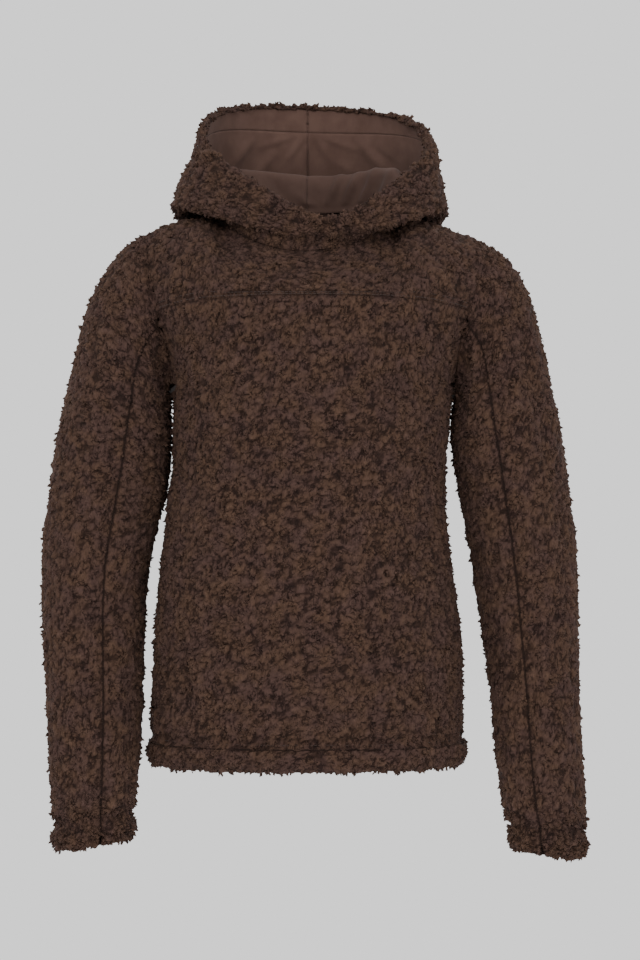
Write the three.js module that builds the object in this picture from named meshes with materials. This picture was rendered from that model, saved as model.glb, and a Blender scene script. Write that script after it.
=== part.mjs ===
// A long-sleeved sherpa fleece pullover with a lined hood, in the hollow shape it has when worn.
// Millimetres, +Z up, the front faces -Y and the wearer's left sleeve is at +X.
// The origin is the middle of the neck base, at the height where the shoulders carry the garment.
// Every panel is a wall whose outer face is the tips of the pile and whose inner face is the knit back.
import * as THREE from "three";

const PILE_CLOTH = 7; // thickness of the fleece, from the knit back to the tips of the pile
const HOOD_CLOTH = 6; // thickness of the fleece in the hood
const ROLL_CLOTH = 2; // the same, where the pile is squeezed in the hood's roll
const LINING = 1.2; // thickness of the jersey that lines the hood
const HEM_CLOTH = 12; // doubled cloth in the turned hem and cuffs
const SEAM_GAP = 0.17; // how far each panel stays back from its seam
const SEAM_SINK = 1.5; // how far the pile sinks at a seam or an edge
const LINING_GAP = 0.5; // between the hood's fleece and its lining
const ROUNDNESS = 2 / 2.3; // exponent of the body's rounded oblong sections

// Columns across a half of the body, of which the middle half meets the neck, and rows of each part.
const BODY_COLUMNS = 20;
const NECK_FIRST = BODY_COLUMNS / 4;
const NECK_LAST = BODY_COLUMNS - NECK_FIRST;
const ARMHOLE_LOW_ROWS = 6; // from the underarm to the chest seam
const YOKE_ROWS = 6; // from the chest seam to the shoulder
const SLEEVE_COLUMNS = 2 * (ARMHOLE_LOW_ROWS + YOKE_ROWS);
const SLEEVE_SEAM = 5; // column of the front sleeve seam, counted from the underarm
const SLEEVE_STEPS = 2; // rows between two sleeve sections
const HOOD_STEPS = 2; // rows between two hood sections
const HOOD_HALF = NECK_LAST - NECK_FIRST; // columns of each hood half

const UNDERARM_Z = -185;
const CHEST_SEAM_Z = -95;
const CHEST_EDGE_ANGLE = 64.5; // how far round the chest seam reaches on each side, in degrees
const CHEST_SEAM_RISE = 14; // the chest seam's middle is this much higher than its ends
const LEFT_SHOULDER = { x: 200, y: 1, z: -17 };
const RIGHT_SHOULDER = { x: -176, y: 1, z: -4 };
const SHOULDER_RISE = 6; // the shoulder seam is bowed up by this much
const NECK = { halfWidth: 96, front: -86, side: 4, back: 76, frontZ: -31, sideZ: 14, backZ: 22 };

// Body sections from the hem up: middle, half width, and reach to the front and to the back.
const BODY_SECTIONS = [
  { z: -590, mid: 0, half: 168, front: 116, back: 110, cloth: 9 },
  { z: -585, mid: 0, half: 174, front: 122, back: 116, cloth: HEM_CLOTH },
  { z: -573, mid: 0, half: 177, front: 125, back: 119, cloth: HEM_CLOTH },
  { z: -562, mid: 0, half: 175, front: 122, back: 116, cloth: HEM_CLOTH },
  { z: -556, mid: 0, half: 170, front: 117, back: 111, cloth: 8 },
  { z: -548, mid: 0, half: 173, front: 120, back: 114, cloth: PILE_CLOTH },
  { z: -520, mid: 0, half: 172, front: 120, back: 114, cloth: PILE_CLOTH },
  { z: -465, mid: 1, half: 170.5, front: 119, back: 113, cloth: PILE_CLOTH },
  { z: -410, mid: 0, half: 166, front: 117, back: 110, cloth: PILE_CLOTH },
  { z: -355, mid: -1, half: 158.5, front: 114, back: 104, cloth: PILE_CLOTH },
  { z: -305, mid: -1, half: 152.5, front: 112, back: 99, cloth: PILE_CLOTH },
  { z: -265, mid: 2, half: 150, front: 113, back: 97, cloth: PILE_CLOTH },
  { z: -225, mid: 4, half: 151, front: 116, back: 99, cloth: PILE_CLOTH },
  { z: -185, mid: 6, half: 154, front: 119, back: 104, cloth: PILE_CLOTH },
  { z: -150, mid: 7, half: 160, front: 121, back: 109, cloth: PILE_CLOTH },
  { z: -120, mid: 7, half: 171, front: 121, back: 112, cloth: PILE_CLOTH },
  { z: -95, mid: 7, half: 185, front: 119, back: 114, cloth: PILE_CLOTH },
];

// Sleeve sections from the armhole to the cuff. Each is an oval between an inner point, on the body's side,
// and an outer one, seen from the front, with a middle and a half depth seen from the side.
const LEFT_SLEEVE = [
  { inX: 160, inZ: -185, outX: 200, outZ: -17, midY: 0, depth: 57, cloth: PILE_CLOTH },
  { inX: 161, inZ: -189, outX: 226, outZ: -33, midY: 0, depth: 60, cloth: PILE_CLOTH },
  { inX: 160.5, inZ: -196, outX: 244, outZ: -64, midY: 1, depth: 62, cloth: PILE_CLOTH },
  { inX: 159, inZ: -208, outX: 255, outZ: -104, midY: 3, depth: 62, cloth: PILE_CLOTH },
  { inX: 159, inZ: -230, outX: 269, outZ: -165, midY: 6, depth: 62, cloth: PILE_CLOTH },
  { inX: 164, inZ: -266, outX: 282, outZ: -228, midY: 10, depth: 61, cloth: PILE_CLOTH },
  { inX: 170, inZ: -308, outX: 291, outZ: -288, midY: 13, depth: 59, cloth: PILE_CLOTH },
  { inX: 180, inZ: -372, outX: 299, outZ: -362, midY: 10, depth: 56, cloth: PILE_CLOTH },
  { inX: 190, inZ: -440, outX: 300, outZ: -438, midY: 1, depth: 53, cloth: PILE_CLOTH },
  { inX: 199, inZ: -510, outX: 300, outZ: -512, midY: -11, depth: 50, cloth: PILE_CLOTH },
  { inX: 205, inZ: -585, outX: 303, outZ: -590, midY: -26, depth: 47, cloth: PILE_CLOTH },
  { inX: 213, inZ: -640, outX: 305, outZ: -648, midY: -38, depth: 45, cloth: PILE_CLOTH },
  { inX: 218, inZ: -652, outX: 302, outZ: -658, midY: -40, depth: 42, cloth: 9 },
  { inX: 217, inZ: -665, outX: 306, outZ: -671, midY: -42, depth: 45, cloth: HEM_CLOTH },
  { inX: 223, inZ: -679, outX: 303, outZ: -684, midY: -44, depth: 42, cloth: 10 },
];
const RIGHT_SLEEVE = [
  { inX: 148, inZ: -185, outX: 176, outZ: -4, midY: 0, depth: 57, cloth: PILE_CLOTH },
  { inX: 149, inZ: -189, outX: 207, outZ: -20, midY: -1, depth: 60, cloth: PILE_CLOTH },
  { inX: 149, inZ: -196, outX: 232, outZ: -57, midY: -1, depth: 62, cloth: PILE_CLOTH },
  { inX: 149, inZ: -208, outX: 247, outZ: -104, midY: 0, depth: 63, cloth: PILE_CLOTH },
  { inX: 149.5, inZ: -233, outX: 262, outZ: -165, midY: 2, depth: 63, cloth: PILE_CLOTH },
  { inX: 152, inZ: -272, outX: 276, outZ: -228, midY: 4, depth: 62, cloth: PILE_CLOTH },
  { inX: 160, inZ: -315, outX: 285, outZ: -288, midY: 5, depth: 60, cloth: PILE_CLOTH },
  { inX: 172, inZ: -378, outX: 293, outZ: -362, midY: 1, depth: 58, cloth: PILE_CLOTH },
  { inX: 176, inZ: -442, outX: 291, outZ: -440, midY: -9, depth: 55, cloth: PILE_CLOTH },
  { inX: 177, inZ: -508, outX: 286, outZ: -514, midY: -22, depth: 52, cloth: PILE_CLOTH },
  { inX: 180, inZ: -578, outX: 281, outZ: -590, midY: -38, depth: 49, cloth: PILE_CLOTH },
  { inX: 184, inZ: -624, outX: 277, outZ: -636, midY: -48, depth: 46, cloth: PILE_CLOTH },
  { inX: 187, inZ: -635, outX: 273, outZ: -647, midY: -50, depth: 43, cloth: 9 },
  { inX: 183, inZ: -650, outX: 277, outZ: -662, midY: -53, depth: 46, cloth: HEM_CLOTH },
  { inX: 187, inZ: -664, outX: 274, outZ: -676, midY: -55, depth: 43, cloth: 10 },
];

// Hood sections from the neck seam to the rim, on the face that the lining meets. The hood lies down: at
// the back it rises, rolls over, drops, turns at the bottom of its pouch and stands up again behind the
// roll. xLeft and xRight are half widths at the wearer's left (+X) and right, xFront moves the front point,
// vee narrows the front, and lean lowers the wearer's left side.
const HOOD_SECTIONS = [
  {
    xLeft: 90, xRight: 90, xFront: 0, vee: 0, lean: 0,
    yFront: -80, ySide: 4, yBack: 70, zFront: -31, zSide: 14, zBack: 22,
  },
  {
    xLeft: 94, xRight: 94, xFront: 4, vee: 0.04, lean: 1,
    yFront: -80.2, ySide: 5, yBack: 72, zFront: -26.5, zSide: 35, zBack: 48,
  },
  {
    xLeft: 103, xRight: 102, xFront: 8, vee: 0.08, lean: 3,
    yFront: -80.8, ySide: 7, yBack: 80, zFront: -22.5, zSide: 52, zBack: 64,
  },
  {
    xLeft: 116, xRight: 113, xFront: 10, vee: 0.1, lean: 3,
    yFront: -81.6, ySide: 9, yBack: 93, zFront: -19, zSide: 46, zBack: 50,
  },
  {
    xLeft: 128, xRight: 125, xFront: 12, vee: 0.08, lean: 4,
    yFront: -82.6, ySide: 11, yBack: 105, zFront: -16, zSide: 28, zBack: 0,
  },
  {
    xLeft: 141, xRight: 138, xFront: 14, vee: 0.05, lean: 2.5,
    yFront: -83.8, ySide: 12, yBack: 126, zFront: -13, zSide: 17, zBack: -54,
  },
  {
    xLeft: 151, xRight: 145, xFront: 16, vee: 0.1, lean: 2,
    yFront: -85, ySide: 14, yBack: 154, zFront: -10.3, zSide: 23, zBack: -42,
  },
  {
    xLeft: 147, xRight: 138, xFront: 17, vee: 0.2, lean: 3,
    yFront: -86.2, ySide: 15, yBack: 166, zFront: -7.6, zSide: 46, zBack: 26,
  },
  {
    xLeft: 142, xRight: 125, xFront: 18, vee: 0.3, lean: 3,
    yFront: -87.2, ySide: 16, yBack: 165, zFront: -5, zSide: 72, zBack: 88,
  },
  {
    xLeft: 141, xRight: 120, xFront: 19, vee: 0.42, lean: 4,
    yFront: -87.8, ySide: 18, yBack: 162, zFront: -2.5, zSide: 88, zBack: 125,
  },
  {
    xLeft: 133, xRight: 116, xFront: 20, vee: 0.5, lean: 5,
    yFront: -88, ySide: 20, yBack: 160, zFront: 0, zSide: 102, zBack: 156,
  },
];
const ROLL_SECTION = 2;
const BAND_SECTION = 9; // where the facing band is sewn to the hood's lining

const FLEECE = { color: 0x4b382f, roughness: 0.95, metalness: 0 };
const JERSEY = { color: 0x5a443c, roughness: 0.85, metalness: 0 };

const radians = (degrees) => (degrees * Math.PI) / 180;
const mix = (a, b, t) => a + (b - a) * t;
const ease = (t) => {
  const k = Math.min(1, Math.max(0, t));
  return k * k * (3 - 2 * k);
};
const hump = (distance, width) => Math.exp(-((distance / width) ** 2));
const rounded = (value) => Math.sign(value) * Math.abs(value) ** ROUNDNESS;

// A smooth curve through a table's rows, read at x in the units of places, with no overshoot between rows.
function read(rows, places, column, x) {
  const last = rows.length - 1;
  let i = 0;
  while (i < last - 1 && x > places[i + 1]) i++;
  const rise = (k) => (rows[k + 1][column] - rows[k][column]) / (places[k + 1] - places[k]);
  const slope = (k) => {
    if (k === 0) return rise(0);
    if (k === last) return rise(last - 1);
    const before = rise(k - 1);
    const after = rise(k);
    return before * after > 0 ? (2 * before * after) / (before + after) : 0;
  };
  const span = places[i + 1] - places[i];
  const t = Math.min(1, Math.max(0, (x - places[i]) / span));
  const start = (1 + 2 * t) * (1 - t) ** 2 * rows[i][column] + t * (1 - t) ** 2 * span * slope(i);
  const end = t * t * (3 - 2 * t) * rows[i + 1][column] - t * t * (1 - t) * span * slope(i + 1);
  return start + end;
}

// A cubic from a to b that leaves along u and arrives along v.
function cubic(a, b, u, v, t) {
  return a
    .clone()
    .multiplyScalar((1 + 2 * t) * (1 - t) ** 2)
    .addScaledVector(u, t * (1 - t) ** 2)
    .addScaledVector(b, t * t * (3 - 2 * t))
    .addScaledVector(v, -t * t * (1 - t));
}

// The outward normals of a grid whose columns run counterclockwise seen from above as its rows go up.
function normalsOf(points, closed = false) {
  const last = points.length - 1;
  const lastColumn = points[0].length - 1;
  return points.map((row, i) =>
    row.map((_, j) => {
      const left = closed && j === 0 ? lastColumn - 1 : Math.max(0, j - 1);
      const right = closed && j === lastColumn ? 1 : Math.min(lastColumn, j + 1);
      const across = row[right].clone().sub(row[left]);
      const along = points[Math.min(last, i + 1)][j].clone().sub(points[Math.max(0, i - 1)][j]);
      return across.cross(along).normalize();
    })
  );
}

// Directions averaged with the rows below and above, so that a wall keeps its thickness round a tight roll.
function softened(normals, rounds) {
  const last = normals.length - 1;
  let now = normals;
  for (let round = 0; round < rounds; round++) {
    const before = now;
    now = before.map((row, i) =>
      row.map((normal, j) =>
        normal
          .clone()
          .multiplyScalar(2)
          .add(before[Math.max(0, i - 1)][j])
          .add(before[Math.min(last, i + 1)][j])
          .normalize()
      )
    );
  }
  return now;
}

const grid = (rows, columns, place) =>
  Array.from({ length: rows + 1 }, (_, i) => Array.from({ length: columns + 1 }, (_, j) => place(i, j)));

// A panel's grid with its normals and its wall thickness at each point.
const patchOf = (points, cloth, closed) => ({ points, normals: normalsOf(points, closed), cloth });
const part = (patch, firstRow, lastRow, firstColumn, lastColumn) => ({
  points: patch.points.slice(firstRow, lastRow + 1).map((row) => row.slice(firstColumn, lastColumn + 1)),
  normals: patch.normals.slice(firstRow, lastRow + 1).map((row) => row.slice(firstColumn, lastColumn + 1)),
  cloth: patch.cloth.slice(firstRow, lastRow + 1).map((row) => row.slice(firstColumn, lastColumn + 1)),
});

// Two panels that meet share one direction through the seam, unless they fold sharply there.
function join(first, second) {
  first.forEach((a, k) => {
    const b = second[k];
    const agreement = ease(a.dot(b) * 2);
    const shared = a.clone().add(b);
    if (shared.lengthSq() < 1e-6) return;
    shared.normalize();
    const own = [a.clone(), b.clone()];
    a.copy(own[0].lerp(shared, agreement)).normalize();
    b.copy(own[1].lerp(shared, agreement)).normalize();
  });
}

// The part of a direction that is square to a seam running along.
function squareTo(along, direction) {
  return direction.clone().sub(direction.clone().projectOnVector(along));
}

// The points of a grid with its edge drawn back a little from the seams.
function drawnBack(points) {
  const last = points.length - 1;
  const lastColumn = points[0].length - 1;
  return points.map((row, i) =>
    row.map((point, j) => {
      const moved = point.clone();
      const alongRow = row[Math.min(lastColumn, j + 1)].clone().sub(row[Math.max(0, j - 1)]);
      const alongColumn = points[Math.min(last, i + 1)][j].clone().sub(points[Math.max(0, i - 1)][j]);
      const away = (seam, next) => moved.add(squareTo(seam, next.clone().sub(point)).setLength(SEAM_GAP));
      if (i === 0) away(alongRow, points[1][j]);
      if (i === last) away(alongRow, points[last - 1][j]);
      if (j === 0) away(alongColumn, row[1]);
      if (j === lastColumn) away(alongColumn, row[lastColumn - 1]);
      return moved;
    })
  );
}

// One closed wall between two grids.
function wallBetween(outer, inner) {
  const rows = outer.length;
  const columns = outer[0].length;
  const out = (i, j) => i * columns + j;
  const back = (i, j) => rows * columns + i * columns + j;
  const faces = [];
  const all = [...outer.flat(), ...inner.flat()];
  const apart = (a, b) => all[a].distanceTo(all[b]);
  // A cell is split along its shorter diagonal, so that walls that meet are split alike.
  const quad = (a, b, c, d) => {
    const shorter = apart(a, c) < apart(b, d);
    faces.push(...(shorter ? [a, b, c, a, c, d] : [b, c, d, b, d, a]));
  };
  for (let i = 0; i < rows - 1; i++) {
    for (let j = 0; j < columns - 1; j++) {
      quad(out(i, j), out(i, j + 1), out(i + 1, j + 1), out(i + 1, j));
      quad(back(i, j), back(i + 1, j), back(i + 1, j + 1), back(i, j + 1));
    }
    const right = columns - 1;
    quad(out(i, 0), out(i + 1, 0), back(i + 1, 0), back(i, 0));
    quad(out(i, right), back(i, right), back(i + 1, right), out(i + 1, right));
  }
  for (let j = 0; j < columns - 1; j++) {
    const top = rows - 1;
    quad(out(0, j), back(0, j), back(0, j + 1), out(0, j + 1));
    quad(out(top, j), out(top, j + 1), back(top, j + 1), back(top, j));
  }
  const geometry = new THREE.BufferGeometry();
  geometry.setAttribute("position", new THREE.Float32BufferAttribute(all.flatMap((p) => p.toArray()), 3));
  geometry.setIndex(faces);
  return geometry;
}

// A panel as a named mesh, between its grid moved out by outward and by inward, both functions of its cloth.
function panel(name, patch, material, outward, inward, sink) {
  const edge = drawnBack(patch.points);
  const last = edge.length - 1;
  const lastColumn = edge[0].length - 1;
  const sunk = (i, j) => (i === 0 || i === last || j === 0 || j === lastColumn ? sink : 0);
  const moved = (distance) =>
    edge.map((row, i) => row.map((p, j) => p.clone().addScaledVector(patch.normals[i][j], distance(i, j))));
  const outer = moved((i, j) => outward(patch.cloth[i][j]) - sunk(i, j));
  const inner = moved((i, j) => inward(patch.cloth[i][j]));
  const mesh = new THREE.Mesh(wallBetween(outer, inner), new THREE.MeshStandardMaterial(material));
  mesh.name = name;
  return mesh;
}
const bodyPanel = (name, patch) => panel(name, patch, FLEECE, () => 0, (cloth) => -cloth, SEAM_SINK);
const hoodPanel = (name, patch) => panel(name, patch, FLEECE, (cloth) => cloth, () => 0, SEAM_SINK);
const liningPanel = (name, patch) =>
  panel(name, patch, JERSEY, () => -LINING_GAP, () => -LINING_GAP - LINING, 0);

// Body

const bodyPlaces = BODY_SECTIONS.map((section) => section.z);
const bodyAt = (column, z) => read(BODY_SECTIONS, bodyPlaces, column, z);

// The edge of the front or back leaves the side seam at the underarm and follows the armhole.
function edgeAngle(z) {
  const climb = Math.max(0, (z - UNDERARM_Z) / (CHEST_SEAM_Z - UNDERARM_Z));
  return mix(90, CHEST_EDGE_ANGLE, climb ** 0.7);
}

// A point of the front (side -1) or back (side 1) below the chest seam's height. across runs from -1 to 1.
function bodyPoint(side, z, across) {
  const angle = radians(edgeAngle(z)) * across;
  const reach = bodyAt(side < 0 ? "front" : "back", z);
  const climb = ease((z - UNDERARM_Z) / (CHEST_SEAM_Z - UNDERARM_Z));
  const bow = side < 0 ? CHEST_SEAM_RISE * climb * (1 - across * across) : 0;
  const x = bodyAt("mid", z) + bodyAt("half", z) * rounded(Math.sin(angle));
  return new THREE.Vector3(x, side * reach * rounded(Math.cos(angle)), z + bow);
}

// The neck seam. The angle is 0 at the front and 90 at the wearer's left.
function neckPoint(angle) {
  const c = Math.cos(radians(angle));
  const level = (front, middle, back) =>
    middle - ((back - front) / 2) * c + ((front + back) / 2 - middle) * c * c;
  return new THREE.Vector3(
    NECK.halfWidth * Math.sin(radians(angle)),
    level(NECK.front, NECK.side, NECK.back),
    level(NECK.frontZ, NECK.sideZ, NECK.backZ)
  );
}

// The top edge of the front or back: the neck seam in the middle, the shoulder seam at both ends.
function topPoint(side, across) {
  const out = (Math.abs(across) - 0.5) * 2;
  const turn = side < 0 ? 180 * across : 180 - 180 * across;
  if (out <= 0) return neckPoint(turn);
  const neck = neckPoint(90 * Math.sign(across));
  const shoulder = across > 0 ? LEFT_SHOULDER : RIGHT_SHOULDER;
  const rise = 4 * SHOULDER_RISE * out * (1 - out);
  return new THREE.Vector3(
    mix(neck.x, shoulder.x, out),
    mix(neck.y, shoulder.y, out),
    mix(neck.z, shoulder.z, out) + rise
  );
}

// A point between the chest seam's height and the shoulder or neck. up runs from 0 to 1.
function yokePoint(side, across, up) {
  const low = bodyPoint(side, CHEST_SEAM_Z, across);
  const top = topPoint(side, across);
  const inward = ease(1 - (Math.abs(across) - 0.35) / 0.25); // 1 in the middle of the neck, 0 at the shoulder
  const height = top.z - low.z;
  const depth = Math.abs(top.y - low.y);
  const leave = new THREE.Vector3(
    (top.x - low.x) * mix(1.7, 0.9, inward),
    0,
    mix(1.55, 1.1, inward) * height,
  );
  const arrive = new THREE.Vector3(
    (top.x - low.x) * mix(0.2, 0.8, inward),
    -side * mix(1.5, 0.9, inward) * depth,
    mix(0.12, 0.95, inward) * height
  );
  return cubic(low, top, leave, arrive, up);
}

const lowRows = [
  ...BODY_SECTIONS.map((section) => section.z).filter((z) => z <= UNDERARM_Z),
  ...Array.from(
    { length: ARMHOLE_LOW_ROWS },
    (_, k) => mix(UNDERARM_Z, CHEST_SEAM_Z, (k + 1) / ARMHOLE_LOW_ROWS)
  ),
];
const CHEST_ROW = lowRows.length - 1;
const UNDERARM_ROW = CHEST_ROW - ARMHOLE_LOW_ROWS;
const TOP_ROW = CHEST_ROW + YOKE_ROWS;

function bodyHalf(side) {
  const points = grid(TOP_ROW, BODY_COLUMNS, (i, j) => {
    const across = -side * ((2 * j) / BODY_COLUMNS - 1);
    if (i <= CHEST_ROW) return bodyPoint(side, lowRows[i], across);
    return yokePoint(side, across, (i - CHEST_ROW) / YOKE_ROWS);
  });
  const clothAt = (i) => {
    if (i <= CHEST_ROW) return bodyAt("cloth", lowRows[i]);
    return i < TOP_ROW ? PILE_CLOTH : HOOD_CLOTH;
  };
  const cloth = grid(TOP_ROW, BODY_COLUMNS, clothAt);
  return patchOf(points, cloth);
}

const front = bodyHalf(-1);
const back = bodyHalf(1);

// Sleeves

// The armhole's points, from the underarm up its front, over the shoulder and down its back.
function armhole(side, what) {
  const frontColumn = side > 0 ? BODY_COLUMNS : 0;
  const backColumn = BODY_COLUMNS - frontColumn;
  const rows = Array.from({ length: TOP_ROW - UNDERARM_ROW + 1 }, (_, k) => UNDERARM_ROW + k);
  const up = rows.map((i) => front[what][i][frontColumn]);
  const down = rows.map((i) => back[what][i][backColumn]).reverse();
  return [...up, ...down.slice(1)];
}

// How far round the sleeve each armhole point lies, in turns, by its share of the armhole's length.
function turnsAlong(points) {
  const lengths = [0];
  points.slice(1).forEach((p, k) => lengths.push(lengths[k] + p.distanceTo(points[k])));
  return lengths.map((length) => length / lengths[lengths.length - 1]);
}

const CAP_SECTIONS = 3; // sections over which the armhole turns into a tube

// Soft folds: a groove along both sleeve seams, and creases that start at the underarm.
function sleeveFold(section, turn, side) {
  const seam = SLEEVE_SEAM / SLEEVE_COLUMNS;
  const away = Math.min(Math.abs(turn - seam), Math.abs(turn - (1 - seam)));
  const groove = 2.6 * hump(away, 0.03) * ease(section);
  const creaseTurn = seam + 0.1 + 0.012 * section * side;
  const crease = 4.5 * hump(turn - creaseTurn, 0.035) * hump(section - 4.2, 2.2) * (side > 0 ? 1 : 0.5);
  const elbow = 3 * hump(section - (7 + 3 * turn), 0.35) * ease(1 - turn * 2.2);
  return groove + crease + elbow;
}

function sleeveTube(side, sections) {
  const hole = armhole(side, "points");
  const holeTurns = turnsAlong(hole);
  const places = sections.map((_, k) => k);
  const rows = (sections.length - 1) * SLEEVE_STEPS;
  const sectionOf = (i) => i / SLEEVE_STEPS;
  const points = grid(rows, SLEEVE_COLUMNS, (i, j) => {
    const s = sectionOf(i);
    const at = (column) => read(sections, places, column, s);
    const blend = Math.sin((Math.PI / 2) * Math.min(1, s / CAP_SECTIONS));
    const turn = mix(holeTurns[j], j / SLEEVE_COLUMNS, blend);
    const angle = 2 * Math.PI * turn;
    const inner = new THREE.Vector3(side * at("inX"), at("midY"), at("inZ"));
    const outer = new THREE.Vector3(side * at("outX"), at("midY"), at("outZ"));
    const middle = inner.clone().lerp(outer, 0.5);
    const arm = outer.clone().sub(middle);
    const tube = middle.addScaledVector(arm, -Math.cos(angle));
    tube.y -= at("depth") * Math.sin(angle);
    return hole[j].clone().lerp(tube, blend);
  });
  // The rows run down the arm, so on the wearer's left they are turned round to face outwards.
  const cloth = grid(rows, SLEEVE_COLUMNS, (i) => read(sections, places, "cloth", sectionOf(i)));
  const tube = patchOf(points, cloth, true);
  if (side > 0) tube.normals.flat().forEach((n) => n.negate());
  tube.points.forEach((row, i) =>
    row.forEach((p, j) => {
      if (i > 0) p.addScaledVector(tube.normals[i][j], -sleeveFold(sectionOf(i), j / SLEEVE_COLUMNS, side));
    })
  );
  return tube;
}

const leftTube = sleeveTube(1, LEFT_SLEEVE);
const rightTube = sleeveTube(-1, RIGHT_SLEEVE);

// Hood

const hoodPlaces = HOOD_SECTIONS.map((_, k) => k);

function hoodPoint(s, degrees) {
  const at = (column) => read(HOOD_SECTIONS, hoodPlaces, column, s);
  const c = Math.cos(radians(degrees));
  const sine = Math.sin(radians(degrees));
  const level = (front, middle, back) =>
    middle - ((back - front) / 2) * c + ((front + back) / 2 - middle) * c * c;
  const frontness = Math.max(0, c) ** 2;
  const half = sine > 0 ? at("xLeft") : at("xRight");
  return new THREE.Vector3(
    half * sine * (1 - at("vee") * frontness) + at("xFront") * frontness,
    level(at("yFront"), at("ySide"), at("yBack")),
    level(at("zFront"), at("zSide"), at("zBack")) - at("lean") * sine
  );
}

const HOOD_COLUMNS = 2 * HOOD_HALF;
const HOOD_ROWS = (HOOD_SECTIONS.length - 1) * HOOD_STEPS;

function hoodTube() {
  const points = grid(HOOD_ROWS, HOOD_COLUMNS, (i, j) =>
    hoodPoint(i / HOOD_STEPS, (360 * j) / HOOD_COLUMNS),
  );
  const cloth = grid(HOOD_ROWS, HOOD_COLUMNS, (i) =>
    mix(HOOD_CLOTH, ROLL_CLOTH, hump(i / HOOD_STEPS - ROLL_SECTION, 1.8))
  );
  const tube = patchOf(points, cloth, true);
  return { ...tube, normals: softened(tube.normals, 3) };
}

const hood = hoodTube();

// Seams

const columnOf = (grid, firstRow, lastRow, j) => grid.slice(firstRow, lastRow + 1).map((row) => row[j]);
for (const [frontColumn, backColumn] of [[0, BODY_COLUMNS], [BODY_COLUMNS, 0]]) {
  join(
    columnOf(front.normals, 0, UNDERARM_ROW, frontColumn),
    columnOf(back.normals, 0, UNDERARM_ROW, backColumn)
  );
}
const frontTop = front.normals[TOP_ROW];
const backTop = back.normals[TOP_ROW];
join(frontTop, [...backTop].reverse());
for (const [side, tube] of [[1, leftTube], [-1, rightTube]]) {
  const hole = armhole(side, "normals");
  join(tube.normals[0].slice(0, -1), hole.slice(0, -1));
  tube.normals[0][SLEEVE_COLUMNS].copy(tube.normals[0][0]);
  const [frontColumn, backColumn] = side > 0 ? [BODY_COLUMNS, 0] : [0, BODY_COLUMNS];
  backTop[backColumn].copy(frontTop[frontColumn]);
  back.normals[UNDERARM_ROW][backColumn].copy(front.normals[UNDERARM_ROW][frontColumn]);
}
// At the neck seam the walls of the body and hood lie one on the other, level.
hood.normals[0].forEach((normal, j) => {
  normal.copy(neckPoint((360 * j) / HOOD_COLUMNS).sub(hood.points[0][j])).setZ(0).normalize();
  const fromMiddle = j <= HOOD_HALF ? j : j - HOOD_COLUMNS;
  const half = BODY_COLUMNS / 2;
  if (Math.abs(fromMiddle) <= HOOD_HALF / 2) frontTop[half + fromMiddle].copy(normal);
  const fromBack = j - HOOD_HALF;
  if (Math.abs(fromBack) <= HOOD_HALF / 2) backTop[half + fromBack].copy(normal);
});

const garment = new THREE.Group();
garment.add(
  bodyPanel("front_body", part(front, 0, CHEST_ROW, 0, BODY_COLUMNS)),
  bodyPanel("front_yoke", part(front, CHEST_ROW, TOP_ROW, 0, BODY_COLUMNS)),
  bodyPanel("back_body", back)
);

// A sleeve is cut in two: the top sleeve over the arm, and the under sleeve between the two seams.
function addSleeve(name, tube, side) {
  const turned = (patch) =>
    side < 0
      ? patch
      : {
          points: patch.points.map((row) => [...row].reverse()),
          normals: patch.normals.map((row) => [...row].reverse()),
          cloth: patch.cloth.map((row) => [...row].reverse()),
        };
  const far = SLEEVE_COLUMNS - SLEEVE_SEAM;
  const rows = tube.points.length - 1;
  const top = part(tube, 0, rows, SLEEVE_SEAM, far);
  const around = (what) =>
    what.map((row) => [...row.slice(far, SLEEVE_COLUMNS), ...row.slice(0, SLEEVE_SEAM + 1)]);
  const under = { points: around(tube.points), normals: around(tube.normals), cloth: around(tube.cloth) };
  garment.add(bodyPanel(`${name}_top_sleeve`, turned(top)));
  garment.add(bodyPanel(`${name}_under_sleeve`, turned(under)));
}
addSleeve("left", leftTube, 1);
addSleeve("right", rightTube, -1);

// The hood is cut in halves with a seam along its middle. Its lining ends in a facing band along the rim.
const bandRow = BAND_SECTION * HOOD_STEPS;
for (const [name, first] of [["left", 0], ["right", HOOD_HALF]]) {
  const last = first + HOOD_HALF;
  garment.add(
    hoodPanel(`${name}_hood`, part(hood, 0, HOOD_ROWS, first, last)),
    liningPanel(`${name}_hood_lining`, part(hood, 0, bandRow, first, last)),
    liningPanel(`${name}_hood_facing`, part(hood, bandRow, HOOD_ROWS, first, last))
  );
}

export default garment;
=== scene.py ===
"""The hooded sherpa fleece pullover: knit backs, curly pile, jersey lining and stitches."""

import math

import bpy
import numpy as np
from mathutils.kdtree import KDTree
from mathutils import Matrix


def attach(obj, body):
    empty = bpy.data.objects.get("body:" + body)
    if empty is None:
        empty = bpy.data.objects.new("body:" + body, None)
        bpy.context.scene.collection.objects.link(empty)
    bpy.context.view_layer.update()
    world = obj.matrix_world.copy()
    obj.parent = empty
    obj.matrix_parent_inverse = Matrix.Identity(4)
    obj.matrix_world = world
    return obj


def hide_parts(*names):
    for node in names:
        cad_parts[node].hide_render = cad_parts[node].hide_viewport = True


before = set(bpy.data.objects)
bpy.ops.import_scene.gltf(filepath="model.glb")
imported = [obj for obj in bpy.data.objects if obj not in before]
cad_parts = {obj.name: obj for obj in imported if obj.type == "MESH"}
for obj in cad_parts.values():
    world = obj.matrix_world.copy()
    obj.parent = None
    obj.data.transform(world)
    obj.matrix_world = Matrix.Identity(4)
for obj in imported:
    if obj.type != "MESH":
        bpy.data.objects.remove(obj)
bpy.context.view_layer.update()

MM = 0.001

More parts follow.
